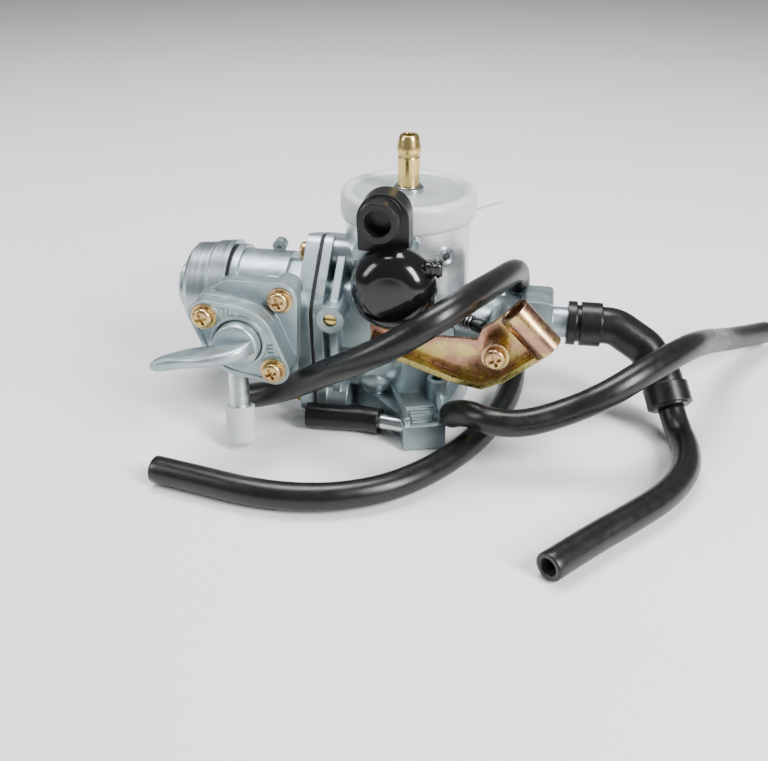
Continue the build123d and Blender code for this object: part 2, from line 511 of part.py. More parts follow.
# ---------------------------------------------------------------- fuel tap
tap_seal = rod((TAP_X, -32, TAP_Z), (TAP_X, -33.2, TAP_Z), TAP_HOLE_R)
tap_seal -= rod((TAP_X, -31, TAP_Z), (TAP_X, -34, TAP_Z), TAP_PIN_R + 0.1)
tap_seal -= rod((-43.0, -31, 30.2), (-43.0, -34, 30.2), 1.0)
tap_seal -= rod((-33.6, -31, 34.4), (-33.6, -34, 34.4), 1.0)
pieces["tap_seal"] = tap_seal
cover = wrapped(facing_front(TAP_SEAT), cover_outline, TAP_SEAT - TAP_FACE)
panel = wrapped(facing_front(TAP_FACE + 0.5), cover_outline, 2, inset=1.1)
cover -= panel
for x, z in COVER_SCREWS:
    cover += rod((x, TAP_FACE + 1, z), (x, TAP_FACE, z), 3.7)
cover += rod((TAP_X, TAP_FACE + 1, TAP_Z), (TAP_X, TAP_FACE - 0.2, TAP_Z), 7.4)
cover -= rod((TAP_X, TAP_SEAT + 1, TAP_Z), (TAP_X, TAP_FACE - 2, TAP_Z), TAP_HOLE_R)

nipple_top, nipple_end = Vector(-40.8, -35, 24), Vector(-39.3, -41.0, 3.0)
nipple_out = (nipple_end - nipple_top).normalized()
fuel_nipple = rod(nipple_top, nipple_end, 2.7)
cover -= fuel_nipple
bowl -= fuel_nipple
bead = nipple_end - nipple_out * 9
fuel_nipple += rod(bead, bead + nipple_out * 1.2, 3.0)
fuel_nipple -= rod(nipple_top - nipple_out, nipple_end + nipple_out, 1.6)
pieces["fuel_nipple"] = fuel_nipple
cap_start = nipple_end - nipple_out * 8.6
cap_floor = nipple_end + nipple_out * 0.2
cap_end = nipple_end + nipple_out * 1.6
dust_cap = rod(cap_start, cap_end, 4.0)
tip_edge = dust_cap.edges().filter_by(GeomType.CIRCLE).sort_by(Axis.Z)[0]
dust_cap = fillet(tip_edge, 1.3)
dust_cap -= rod(cap_start, cap_floor, 2.7)
dust_cap -= rod(bead, bead + nipple_out * 1.2, 3.0)
pieces["nipple_dust_cap"] = dust_cap

lever = rod((TAP_X, -33.3, TAP_Z), (TAP_X, -44.4, TAP_Z), TAP_DISC_R)
lever += rod((TAP_X, -28.4, TAP_Z), (TAP_X, -33.3, TAP_Z), TAP_PIN_R)
with BuildSketch(Plane(origin=(0, 0, -1.7), x_dir=(1, 0, 0), z_dir=(0, 0, 1))) as blade:
    with BuildLine():
        root = Line((-5.4, -46.2), (-5.4, -43.5))
        inner = Spline((-5.4, -43.5), (5.0, -43.8), (13.5, -45.2), (20.4, -50.4))
        tip = Line((20.4, -50.4), (19.3, -52.3))
        outer = Spline((19.3, -52.3), (13.0, -51.6), (6.0, -52.4), (0.0, -51.4), (-5.4, -46.2))
    make_face()
fin = extrude(blade.sketch, amount=3.4)
fin = fillet(fin.edges().filter_by(Axis.Z).group_by(Axis.X)[-1], 0.8)
lever += Pos(TAP_X, 0, TAP_Z) * Rot(0, -LEVER_TURN, 0) * fin
pieces["tap_lever"] = lever

tap_screws = []
for x, z in COVER_SCREWS:
    tap_screws.append(cross_head_screw((x, TAP_FACE, z), (0, -1, 0), 2.7, 2.0, 1.8, 10, washer_r=3.4))
    hole = rod((x, TAP_FACE - 1, z), (x, TAP_FACE + 10, z), 1.8)
    cover -= hole
    bowl -= hole
x, z = BODY_SCREW
tap_screws.append(cross_head_screw((x, TAP_BACK, z), (0, -1, 0), 2.7, 2.0, 1.8, 9, washer_r=3.4))
bowl -= rod((x, TAP_BACK - 1, z), (x, TAP_BACK + 9, z), 1.8)
pieces["tap_screws"] = Compound(children=tap_screws)
pieces["tap_cover"] = cover
pieces["float_bowl"] = bowl

# ---------------------------------------------------------------- cable bracket with its rolled clamp
lip_points = [(-6, 28.5), (1.8, 24.5), (16.6, 19.2), (24.5, 17.7), (30.0, 20.3), (39.4, 28.0)]
sheet_outline = lip_points + [(41.4, 30.2), (31.9, 40.0), (27.0, 35.4), (23.8, 33.0), (22.6, 29.6),
                              (11, 29.6), (0, 33.0), (-6.5, 33.4)]
with BuildSketch(facing_front(BRACKET_Y)) as sheet:
    with BuildLine():
        Polyline(*sheet_outline, close=True)
    make_face()
bracket = extrude(sheet.sketch, amount=SHEET_T)
lip_line = FilletPolyline(*lip_points, radius=2.2)
with BuildSketch(Plane.XY) as lip_section:
    add(lip_line)
    trace(line_width=SHEET_T)
lip_depth = 5.5
bracket += facing_front(BRACKET_Y) * extrude(lip_section.sketch, amount=lip_depth)
clamp_start, clamp_end = Vector(31.7, -28.2, 40.6), Vector(41.2, -28.2, 30.7)
clamp_over = (clamp_end - clamp_start).normalized()
bracket += rod(clamp_start, clamp_end, CLAMP_R)
bracket -= rod(clamp_start - clamp_over, clamp_end + clamp_over, CLAMP_BORE_R)
screw_x, screw_z = BRACKET_SCREW
bracket -= rod((screw_x, -20, screw_z), (screw_x, -27, screw_z), 1.9)
pieces["cable_bracket"] = bracket
collar_seat = BRACKET_Y - SHEET_T
collar_top = collar_seat - 6.3
collar = rod((screw_x, collar_seat, screw_z), (screw_x, collar_top, screw_z), 3.7)
collar -= rod((screw_x, -20, screw_z), (screw_x, -40, screw_z), 1.9)
pieces["bracket_collar"] = collar
screw_length = 16
pieces["bracket_screw"] = cross_head_screw((screw_x, collar_top, screw_z), (0, -1, 0), 2.9, 2.3, 1.9,
                                           screw_length)
vent_head -= rod((screw_x, BRACKET_Y - 1, screw_z), (screw_x, collar_top + screw_length, screw_z), 1.9)

# ---------------------------------------------------------------- rubber vent elbow
elbow_points = [(STEM_SHOULDER, 0, NECK_Z), (60, 0, NECK_Z), (69, -3.2, 20.6), (74, -8.5, 14.4),
                (76.6, -14.5, 8.4)]
elbow_line = FilletPolyline(*elbow_points, radius=[9, 8, 8])
elbow_section = Plane(origin=elbow_line @ 0, z_dir=elbow_line % 0) * (Circle(5.3) - Circle(STEM_R))
vent_elbow = sweep(elbow_section, path=elbow_line)
for x0, x1 in ((STEM_SHOULDER, 49.0), (50.2, 56.0)):
    collar = rod((x0, 0, NECK_Z), (x1, 0, NECK_Z), 6.3)
    vent_elbow += collar - rod((x0 - 1, 0, NECK_Z), (x1 + 1, 0, NECK_Z), 4.5)
end_in, end_out = Vector(74.7, -10.2, 12.7), Vector(76.4, -14.1, 8.8)
vent_elbow += rod(end_in, end_out, 6.2) - rod(end_in - (end_out - end_in), end_out + (end_out - end_in),
                                              4.5)
pieces["vent_elbow"] = vent_elbow

pieces["vent_head"] = vent_head
pieces["carb_body"] = body

os.makedirs("parts", exist_ok=True)
for name, shape in pieces.items():
    export_step(shape, f"parts/{name}.step")
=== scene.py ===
"""Looks of the slide carburetor: materials, hoses, moulded caps, light and camera."""
from math import cos, pi, radians, sin

import bmesh
import bpy
from mathutils import Matrix, Vector


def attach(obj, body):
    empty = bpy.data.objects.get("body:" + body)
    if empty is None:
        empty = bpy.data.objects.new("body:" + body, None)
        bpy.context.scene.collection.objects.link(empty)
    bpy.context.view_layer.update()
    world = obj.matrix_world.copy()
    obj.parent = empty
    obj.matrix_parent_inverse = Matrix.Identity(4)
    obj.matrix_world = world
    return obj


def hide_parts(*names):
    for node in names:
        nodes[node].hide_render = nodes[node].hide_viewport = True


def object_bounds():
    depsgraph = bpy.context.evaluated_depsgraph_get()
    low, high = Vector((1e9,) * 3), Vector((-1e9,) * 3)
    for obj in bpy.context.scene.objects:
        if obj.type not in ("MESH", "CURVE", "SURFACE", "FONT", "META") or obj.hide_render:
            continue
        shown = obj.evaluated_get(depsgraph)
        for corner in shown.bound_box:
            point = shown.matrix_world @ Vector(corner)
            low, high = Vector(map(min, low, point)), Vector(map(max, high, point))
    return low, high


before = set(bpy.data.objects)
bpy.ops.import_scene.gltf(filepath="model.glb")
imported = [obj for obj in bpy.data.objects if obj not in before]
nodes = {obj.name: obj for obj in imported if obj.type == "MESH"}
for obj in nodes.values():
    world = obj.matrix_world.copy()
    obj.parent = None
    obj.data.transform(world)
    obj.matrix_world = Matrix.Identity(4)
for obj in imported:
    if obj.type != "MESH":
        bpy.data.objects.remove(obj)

MM = 0.001
cad_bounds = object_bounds()
scene = bpy.context.scene


# ---------------------------------------------------------------- node helpers
class Shader:
    """A small wrapper that adds and links the nodes of one material."""

    def __init__(self, name):
        self.material = bpy.data.materials.new(name)
        self.material.use_nodes = True
        self.tree = self.material.node_tree
        self.principled = self.tree.nodes["Principled BSDF"]
        self.coords = self.tree.nodes.new("ShaderNodeTexCoord").outputs["Object"]

    def node(self, kind, **values):
        made = self.tree.nodes.new("ShaderNode" + kind)
        for key, value in values.items():
            setattr(made, key, value)
        return made

    def link(self, output, target):
        self.tree.links.new(output, target)

    def set(self, **values):
        for key, value in values.items():
            self.principled.inputs[key.replace("_", " ")].default_value = value

    def noise(self, scale, detail=4.0, rough=0.55, stretch=None):
        """Noise in the object's own metres; scale is features per metre."""
        texture = self.node("TexNoise")
        texture.inputs["Scale"].default_value = scale
        texture.inputs["Detail"].default_value = detail
        texture.inputs["Roughness"].default_value = rough
        source = self.coords
        if stretch:
            mapping = self.node("Mapping")
            mapping.inputs["Scale"].default_value = stretch
            self.link(source, mapping.inputs["Vector"])
            source = mapping.outputs["Vector"]
        self.link(source, texture.inputs["Vector"])
        return texture.outputs["Fac"]

    def ramp(self, source, stops):
        ramp = self.node("ValToRGB")
        elements = ramp.color_ramp.elements
        while len(elements) < len(stops):
            elements.new(0.5)
        for element, (place, colour) in zip(elements, stops):
            element.position = place
            element.color = (*colour, 1)
        self.link(source, ramp.inputs["Fac"])
        return ramp.outputs["Color"]

    def span(self, source, low, high, out_low, out_high):
        """source mapped from low..high to out_low..out_high, clamped."""
        mapped = self.node("MapRange")
        limits = {"From Min": low, "From Max": high, "To Min": out_low, "To Max": out_high}
        for key, value in limits.items():
            mapped.inputs[key].default_value = value
        self.link(source, mapped.inputs["Value"])
        return mapped.outputs["Result"]

    def math(self, operation, first, second):
        made = self.node("Math", operation=operation)
        for value, target in zip((first, second), made.inputs):
            if isinstance(value, (int, float)):
                target.default_value = value
            else:
                self.link(value, target)
        return made.outputs["Value"]

    def mix(self, factor, first, second):
        made = self.node("Mix", data_type="RGBA")
        self.link(factor, made.inputs["Factor"])
        slots = [s for s in made.inputs if s.type == "RGBA"]
        for value, target in zip((first, second), slots):
            if isinstance(value, tuple):
                target.default_value = (*value, 1)
            else:
                self.link(value, target)
        return [s for s in made.outputs if s.type == "RGBA"][0]

    def axis(self, name):
        separate = self.node("SeparateXYZ")
        self.link(self.coords, separate.inputs["Vector"])
        return separate.outputs[name]

    def off_axis(self):
        """The distance from the Z axis, in metres."""
        x, y = self.axis("X"), self.axis("Y")
        squares = self.math("ADD", self.math("MULTIPLY", x, x), self.math("MULTIPLY", y, y))
        return self.math("SQRT", squares, 0)

    def bump(self, height, distance, strength=1.0, edge=0.0):
        """Bump from height, over a rounded-edge normal where edge is its radius."""
        made = self.node("Bump")
        made.inputs["Strength"].default_value = strength
        made.inputs["Distance"].default_value = distance
        self.link(height, made.inputs["Height"])
        if edge:
            bevel = self.node("Bevel", samples=6)
            bevel.inputs["Radius"].default_value = edge
            self.link(bevel.outputs["Normal"], made.inputs["Normal"])
        self.link(made.outputs["Normal"], self.principled.inputs["Normal"])

    def colour(self, output):
        self.link(output, self.principled.inputs["Base Color"])

    def roughness(self, output):
        self.link(output, self.principled.inputs["Roughness"])


# ---------------------------------------------------------------- materials
CAST = (0.33, 0.40, 0.425)
CAST_LIGHT = (0.46, 0.53, 0.55)
CAST_DARK = (0.22, 0.275, 0.295)


def die_cast(name="die_cast", machined=None):
    """Satin die-cast alloy; machined=(low, radius) brightens the turned barrel above low."""
    s = Shader(name)
    broad = s.noise(70, 3)
    fine = s.noise(2600, 3)
    colour = s.ramp(s.math("ADD", s.math("MULTIPLY", broad, 0.75), s.math("MULTIPLY", fine, 0.25)),
                    [(0.30, CAST_DARK), (0.5, CAST), (0.72, CAST_LIGHT)])
    rough = s.span(s.noise(300, 3), 0.3, 0.7, 0.30, 0.46)
    height = s.math("ADD", s.math("MULTIPLY", fine, 0.5), s.noise(900, 4))
    if machined:
        low, radius = machined
        around = s.off_axis()
        at_wall = s.span(around, radius - 0.0004, radius - 0.00015, 0, 1)
        outside = s.span(around, radius + 0.00025, radius + 0.0005, 1, 0)
        up = s.span(s.axis("Z"), low, low + 0.0008, 0, 1)
        mask = s.math("MULTIPLY", s.math("MULTIPLY", at_wall, outside), up)
        lines = s.noise(1, 2, stretch=(4, 4, 2600))
        turned = s.ramp(lines, [(0.3, (0.58, 0.62, 0.64)), (0.7, (0.78, 0.81, 0.82))])
        colour = s.mix(mask, colour, turned)
        smooth = s.span(lines, 0.3, 0.7, 0.24, 0.34)
        rough = s.math("ADD", s.math("MULTIPLY", rough, s.math("SUBTRACT", 1, mask)),
                       s.math("MULTIPLY", smooth, mask))
        height = s.math("ADD", s.math("MULTIPLY", height, s.math("SUBTRACT", 1, mask)),
                        s.math("MULTIPLY", s.math("MULTIPLY", lines, 0.12), mask))
    s.colour(colour)
    s.roughness(rough)
    s.set(Metallic=0.85)
    s.bump(height, 0.00006, 0.55, edge=0.0005)
    return s.material


def turned_metal(name, dark, light, rough=(0.16, 0.3), axis=(30, 30, 4200), edge=0.00025):
    """A turned or drawn metal with fine lines around its axis."""
    s = Shader(name)
    lines = s.noise(1, 3, stretch=axis)
    drift = s.math("ADD", s.math("MULTIPLY", lines, 0.5), s.math("MULTIPLY", s.noise(160), 0.5))
    s.colour(s.ramp(drift, [(0.35, dark), (0.65, light)]))
    s.roughness(s.span(lines, 0.3, 0.7, *rough))
    s.set(Metallic=1.0)
    s.bump(lines, 0.00003, 0.4, edge=edge)
    return s.material


def yellow_zinc(name="yellow_zinc", rose=0.5, lip_highlight=False):
    """Yellow-passivated zinc plating, drifting from gold through rose to green, with an optional
    painted green-gold highlight along the bracket's bent lip.
    """
    s = Shader(name)
    drift = s.noise(85, 2.5, stretch=(1.0, 1.0, 1.6))
    gold, pink = (0.60, 0.44, 0.17), (0.42, 0.235, 0.16)
    green, dusk = (0.40, 0.40, 0.12), (0.30, 0.18, 0.14)
    stops = [(0.25, green), (0.38, gold), (0.85 - 0.35 * rose, pink), (0.95, dusk)]
    colour = s.ramp(drift, stops)
    # Painted highlight: the bracket's front, lower lip is coloured green-gold, standing in for
    # light catching its bend.
    if lip_highlight:
        x, y, z = (s.axis(a) for a in "XYZ")
        forward = s.span(y, -0.0262, -0.0248, 1, 0)
        below = s.span(s.math("ADD", x, z), 0.0640, 0.0652, 1, 0)
        edge = s.ramp(drift, [(0.3, (0.42, 0.42, 0.12)), (0.7, (0.62, 0.46, 0.18))])
        colour = s.mix(s.math("MULTIPLY", forward, below), colour, edge)
    s.colour(colour)
    s.roughness(s.span(s.noise(700, 3), 0.3, 0.7, 0.20, 0.36))
    s.set(Metallic=1.0)
    s.bump(s.noise(1800, 3), 0.00004, 0.35, edge=0.0003)
    return s.material


def nylon(name="nylon", tint=(0.66, 0.70, 0.70), disc=None):
    """Milky translucent nylon; disc is the radius of a thinner middle, painted greyer as painted
    shade for the darker inside seen through it.
    """
    s = Shader(name)
    cloud = s.noise(120, 3)
    colour = s.ramp(cloud, [(0.3, tuple(0.93 * c for c in tint)), (0.7, tint)])
    if disc:
        # Painted shade: inside the disc radius the colour turns grey for the darker inside seen
        # through the thinner nylon.
        inside = s.span(s.off_axis(), disc, disc + 0.0006, 1, 0)
        see_through_shade = s.ramp(cloud, [(0.3, (0.40, 0.44, 0.44)), (0.7, (0.47, 0.51, 0.51))])
        colour = s.mix(inside, colour, see_through_shade)
    s.colour(colour)
    s.roughness(s.span(s.noise(500, 3), 0.3, 0.7, 0.30, 0.42))
    s.set(Transmission_Weight=0.28, Subsurface_Weight=0.45, Subsurface_Scale=0.004, IOR=1.5)
    s.bump(s.noise(400, 3), 0.00005, 0.3, edge=0.0005)
    return s.material


def moulded_black(name, base, rough, grain=1400, depth=0.00003, coat=0.0, specular=0.4):
    """Black rubber or plastic, from glossy to satin."""
    s = Shader(name)
    drift = s.noise(150, 3)
    dark = (base, base, base * 1.05)
    light = (base * 1.6, base * 1.6, base * 1.7)
    s.colour(s.ramp(drift, [(0.3, dark), (0.7, light)]))
    s.roughness(s.span(s.noise(420, 4), 0.3, 0.7, *rough))
    s.set(Coat_Weight=coat, Coat_Roughness=0.12, Specular_IOR_Level=specular)
    s.bump(s.noise(grain, 4), depth, 0.4, edge=0.0005)
    return s.material


def dark_hollow(name="hose_bore"):
    """The unlit inside of a cut hose."""
    s = Shader(name)
    s.colour(s.ramp(s.noise(300), [(0.3, (0.004, 0.004, 0.004)), (0.7, (0.01, 0.01, 0.01))]))
    s.roughness(s.span(s.noise(200), 0.3, 0.7, 0.7, 0.9))
    return s.material


def screen_mesh(name="strainer_mesh"):
    """Fine woven brass gauze."""
    s = Shader(name)
    weave = s.node("TexBrick")
    weave.inputs["Scale"].default_value = 1600
    s.link(s.coords, weave.inputs["Vector"])
    # Painted shade: the brick mortar lines are dark brown, standing in for the openings between the
    # brass wires.
    s.colour(s.ramp(weave.outputs["Fac"], [(0.2, (0.55, 0.40, 0.16)), (0.8, (0.12, 0.09, 0.04))]))
    s.roughness(s.span(s.noise(300), 0.3, 0.7, 0.35, 0.5))
    s.set(Metallic=1.0)
    s.bump(weave.outputs["Fac"], 0.0001, 0.6)
    return s.material


GOLD_DARK, GOLD_LIGHT = (0.56, 0.39, 0.12), (0.83, 0.63, 0.26)
mats = {
    "body": die_cast("die_cast_body", machined=(0.0345, 0.0175)),
    "cast": die_cast(),
    "lever": die_cast("die_cast_lever"),
    "brass": turned_metal("brass", GOLD_DARK, GOLD_LIGHT),
    "brass_x": turned_metal("brass_lying", GOLD_DARK, GOLD_LIGHT, axis=(4200, 30, 30)),
    "steel": turned_metal("steel", (0.42, 0.45, 0.46), (0.66, 0.69, 0.70)),
    "spring": turned_metal("spring_steel", (0.30, 0.31, 0.32), (0.55, 0.56, 0.57),
                           axis=(900, 900, 900)),
    "dark_steel": turned_metal("dark_steel", (0.05, 0.055, 0.055), (0.16, 0.17, 0.17),
                               (0.25, 0.4)),
    "zinc": yellow_zinc("yellow_zinc_screws", rose=0.05),
    "bracket": yellow_zinc("yellow_zinc_bracket", rose=1.0, lip_highlight=True),
    "nylon": nylon(disc=0.0152),
    "tie": nylon("nylon_tie", (0.78, 0.78, 0.74)),
    "dust_cap": nylon("nylon_dust_cap", (0.74, 0.77, 0.78)),
    "cup": turned_metal("turned_cup", (0.30, 0.355, 0.375), (0.47, 0.53, 0.55), (0.28, 0.42),
                        axis=(2600, 60, 60)),
    "nipple": turned_metal("satin_nipple", (0.52, 0.56, 0.57), (0.70, 0.73, 0.74), (0.34, 0.48),
                           axis=(60, 60, 900)),
    "gloss": moulded_black("gloss_black_cap", 0.003, (0.10, 0.18), coat=0.15, specular=0.4),
    "plastic": moulded_black("satin_black_plastic", 0.004, (0.28, 0.40), specular=0.35),
    "hose": moulded_black("hose_rubber", 0.004, (0.26, 0.38), 900, 0.00005, specular=0.38),
    "gasket": moulded_black("gasket_fibre", 0.012, (0.6, 0.8), 2500, 0.00008),
    "bore": dark_hollow(),
    "screen": screen_mesh(),
}

wearers = {
    "body": ("carb_body",),
    "cast": ("vent_head", "float_bowl", "tap_cover"),
    "cup": ("strainer_cup",),
    "lever": ("tap_lever",),
    "steel": ("throttle_slide", "needle_clip", "cap_ring", "barrel_plug", "float_pin",
              "hose_nipples"),
    "spring": ("slide_spring", "choke_spring", "idle_screw_spring"),
    "brass": ("jet_needle", "needle_jet", "cable_guide", "mixture_screw", "choke_plunger"),
    "brass_x": ("main_jet", "pilot_jet", "float_needle", "needle_seat"),
    "nylon": ("barrel_cap",),
    "tie": ("cap_tie",),
    "dust_cap": ("nipple_dust_cap",),
    "dark_steel": ("idle_screw",),
    "plastic": ("choke_elbow", "float"),
    "gloss": ("front_port_cap",),
    "gasket": ("bowl_gasket", "strainer_seal", "tap_seal"),
    "zinc": ("bowl_screws", "tap_screws", "bracket_collar", "bracket_screw"),
    "screen": ("strainer_screen",),
    "nipple": ("fuel_nipple",),
    "bracket": ("cable_bracket",),
    "hose": ("vent_elbow", "hose_upper", "hose_lower", "hose_side", "hose_elbow",
             "drain_hose_stub"),
}
node_material = {node: key for key, names in wearers.items() for node in names}


def dress_cad_nodes():
    """Gives each CAD node its material, shaded smooth except at its sharp edges."""
    for name, obj in nodes.items():
        obj.data.materials.clear()
        obj.data.materials.append(mats[node_material[name]])
        for face in obj.data.polygons:
            face.use_smooth = True
        weld = obj.modifiers.new("weld", "WELD")
        weld.merge_threshold = 1e-6
        split = obj.modifiers.new("sharp_edges", "EDGE_SPLIT")
        split.split_angle = radians(30)


# ---------------------------------------------------------------- mesh helpers
def add_object(name, mesh, material, body="carburetor", slot=None):
    obj = bpy.data.objects.new(name, mesh)
    scene.collection.objects.link(obj)
    for m in material if isinstance(material, list) else [material]:
        mesh.materials.append(m)
    for face in mesh.polygons:
        face.use_smooth = True
    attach(obj, body)
    return obj


def lathe(name, profile, origin, axis, material, segments=72, **extra):
    """A turned piece from (radius, height) points in mm about axis through origin."""
    turn = Vector(axis).to_track_quat("Z", "Y").to_matrix().to_4x4()
    place = Matrix.Translation(Vector(origin) * MM) @ turn
    bm = bmesh.new()
    rings = []
    for radius, height in profile:
        if radius < 1e-6:
            rings.append([bm.verts.new(place @ Vector((0, 0, height * MM)))])
            continue
        ring = []
        for i in range(segments):
            a = 2 * pi * i / segments
            point = Vector((radius * MM * cos(a), radius * MM * sin(a), height * MM))
            ring.append(bm.verts.new(place @ point))
        rings.append(ring)
    for lower, upper in zip(rings, rings[1:]):
        for i in range(segments):
            j = (i + 1) % segments
            below = [lower[i % len(lower)], lower[j % len(lower)]]
            above = [upper[j % len(upper)], upper[i % len(upper)]]
            unique = list(dict.fromkeys(below + above))
            if len(unique) > 2:
                bm.faces.new(unique)
    bmesh.ops.recalc_face_normals(bm, faces=bm.faces)
    mesh = bpy.data.meshes.new(name)
    bm.to_mesh(mesh)
    bm.free()
    return add_object(name, mesh, material, **extra)


# ---------------------------------------------------------------- camera and hoses
SENSOR_MM, LENS_MM, DISTANCE = 36.0, 42.46875, 0.279
AZIMUTH, ELEVATION = radians(10.0), radians(29.5)
TARGET = Vector((-6.64, -1.17, 1.48)) * MM


def make_camera():
    level = cos(ELEVATION)
    towards = Vector((sin(AZIMUTH) * level, -cos(AZIMUTH) * level, sin(ELEVATION)))
    data = bpy.data.cameras.new("camera")
    data.sensor_width = SENSOR_MM
    data.lens = LENS_MM
    data.clip_start = 0.01
    camera = bpy.data.objects.new("camera", data)
    camera.location = TARGET + towards * DISTANCE
    camera.rotation_euler = towards.to_track_quat("Z", "Y").to_euler()
    scene.collection.objects.link(camera)
    scene.camera = camera


# Hose sizes and routes in mm, the same as in the CAD, and their lengths in metres
HOSE_R = 3.6
HOSE_BORE_R = 2.1
BORE_DEPTH = 0.010
routes = {
    "upper": [(31.5, 11, 30), (31.5, 11, 35.5), (29.8, 0.5, 39.4), (26.6, -13.5, 42.2),
              (21.8, -27.5, 44.2), (14.6, -40, 43.2), (5.0, -43.5, 37.2), (-6.5, -42, 29.8),
              (-16.8, -37, 22.5), (-26, -31.5, 15), (-37, -28, 8.8), (-43.2, -26.9, 7.0)],
    "lower": [(31.5, 11, 18), (31.5, 11, 10.5), (32.6, 4, 4.4), (31.4, -9, 3.7),
              (27.2, -25.5, 3.7), (19.4, -42.2, 3.7), (7.4, -56.8, 3.7), (-5.2, -64, 3.7),
              (-18, -66.6, 3.7), (-31, -66.0, 3.7), (-44, -63.2, 3.7), (-56.2, -60.9, 3.7)],
    "side": [(17, -31.6, 10), (20.8, -35.6, 14.2), (27.4, -41.2, 15), (36.3, -40.6, 14.6),
             (47.2, -36.8, 17.2), (56.8, -35.4, 22.4), (66.2, -28.6, 26.5), (78, -14.6, 27.5),
             (85.8, 2.4, 21.4), (94, 21.4, 13), (103.9, 35.6, 8), (113.4, 48, 4.4)],
    "elbow": [(76.6, -14.5, 8.4), (78.4, -18.6, 4.3), (80.2, -27.5, 3.8), (79.0, -38.5, 3.8),
              (73.2, -49.6, 3.7), (63.6, -60.6, 3.7), (53.9, -70.7, 3.7), (44.5, -81.8, 3.7)],
}


def smooth_line(points, name):
    """The points along the NURBS spline whose control points are given, in metres."""
    data = bpy.data.curves.new(name, "CURVE")
    data.dimensions = "3D"
    spline = data.splines.new("NURBS")
    spline.points.add(len(points) - 1)
    for target, point in zip(spline.points, points):
        target.co = (*(c * MM for c in point), 1)
    spline.order_u = 3
    spline.use_endpoint_u = True
    spline.resolution_u = 10
    obj = bpy.data.objects.new(name, data)
    scene.collection.objects.link(obj)
    bpy.context.view_layer.update()
    mesh = bpy.data.meshes.new_from_object(obj.evaluated_get(bpy.context.evaluated_depsgraph_get()))
    line = [v.co.copy() for v in mesh.vertices]
    bpy.data.objects.remove(obj)
    return line


def tube(name, line, outer, bore, sides=40):
    """A hollow hose along line, in mm radii, with a softened, cut end and a bore that shows."""
    steps = [0.0]
    for a, b in zip(line, line[1:]):
        steps.append(steps[-1] + (b - a).length)
    total = steps[-1]
    tangents = []
    for i in range(len(line)):
        tangents.append((line[min(i + 1, len(line) - 1)] - line[max(i - 1, 0)]).normalized())
    frames = []
    side = tangents[0].orthogonal().normalized()
    for tangent in tangents:
        side = (side - tangent * side.dot(tangent)).normalized()
        frames.append((side.copy(), tangent.cross(side)))
    bm = bmesh.new()

    def ring(i, radius, shift=0.0):
        u, v = frames[i]
        centre = line[i] + tangents[i] * shift * MM
        return [bm.verts.new(centre + (u * cos(a) + v * sin(a)) * radius * MM)
                for a in (2 * pi * k / sides for k in range(sides))]

    last = len(line) - 1
    rings = [ring(0, outer - 0.08, 0.1)]
    rings += [ring(i, outer) for i in range(1, last)]
    rings += [ring(last, outer, -0.35), ring(last, outer - 0.1, -0.08),
              ring(last, outer - 0.35, 0.0)]
    rings += [ring(last, bore + 0.25, 0.0), ring(last, bore, -0.25)]
    inner_from = len(rings) - 1
    back = last
    while total - steps[back] < BORE_DEPTH:
        back -= 1
        rings.append(ring(back, bore))
    for k, (lower, upper) in enumerate(zip(rings, rings[1:])):
        for i in range(sides):
            j = (i + 1) % sides
            face = bm.faces.new((lower[i], lower[j], upper[j], upper[i]))
            face.material_index = 1 if k >= inner_from else 0
    for closing in (rings[0], rings[-1]):
        face = bm.faces.new(closing)
        face.material_index = 1
    bmesh.ops.recalc_face_normals(bm, faces=bm.faces)
    mesh = bpy.data.meshes.new(name)
    bm.to_mesh(mesh)
    bm.free()
    return add_object(name, mesh, [mats["hose"], mats["bore"]], slot="black_rubber")


def make_hoses():
    for name, route in routes.items():
        line = smooth_line(route, "route_" + name)
        piece = tube("rubber_hose_" + name, line, HOSE_R, HOSE_BORE_R)
        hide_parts("hose_" + name)


# ---------------------------------------------------------------- moulded and cast details
def rings_to_mesh(name, rings, material, **extra):
    """A closed skin over rings of points, in mm, each ring with the same count."""
    bm = bmesh.new()
    made = [[bm.verts.new(Vector(point) * MM) for point in ring] for ring in rings]
    for lower, upper in zip(made, made[1:]):
        for i in range(len(lower)):
            j = (i + 1) % len(lower)
            bm.faces.new((lower[i], lower[j], upper[j], upper[i]))
    bm.faces.new(made[0])
    bm.faces.new(made[-1])
    bmesh.ops.recalc_face_normals(bm, faces=bm.faces)
    mesh = bpy.data.meshes.new(name)
    bm.to_mesh(mesh)
    bm.free()
    return add_object(name, mesh, material, **extra)


def along(points, u):
    """The height at u on the smooth line through (u, height) points."""
    points = sorted(points)
    k = max(i for i, p in enumerate(points[:-1]) if p[0] <= u or i == 0)
    (u0, y0), (u1, y1) = points[k], points[k + 1]
    before = points[k - 1] if k else points[k]
    after = points[k + 2] if k + 2 < len(points) else points[k + 1]
    t = (u - u0) / (u1 - u0)
    m0 = (y1 - before[1]) / max(u1 - before[0], 1e-6) * (u1 - u0)
    m1 = (after[1] - y0) / max(after[0] - u0, 1e-6) * (u1 - u0)
    return (y0 * (2 * t**3 - 3 * t**2 + 1) + m0 * (t**3 - 2 * t**2 + t)
            + y1 * (3 * t**2 - 2 * t**3) + m1 * (t**3 - t**2))


TAP = (-37.9, 32.0)
LEVER_TURN = radians(190)
LEVER_START, LEVER_TIP, LEVER_STEPS = -5.3, 20.4, 32
LEVER_HALF_THICK = 1.7
LEVER_TIP_THICK = {30: 1.6, 31: 1.35, 32: 0.8}


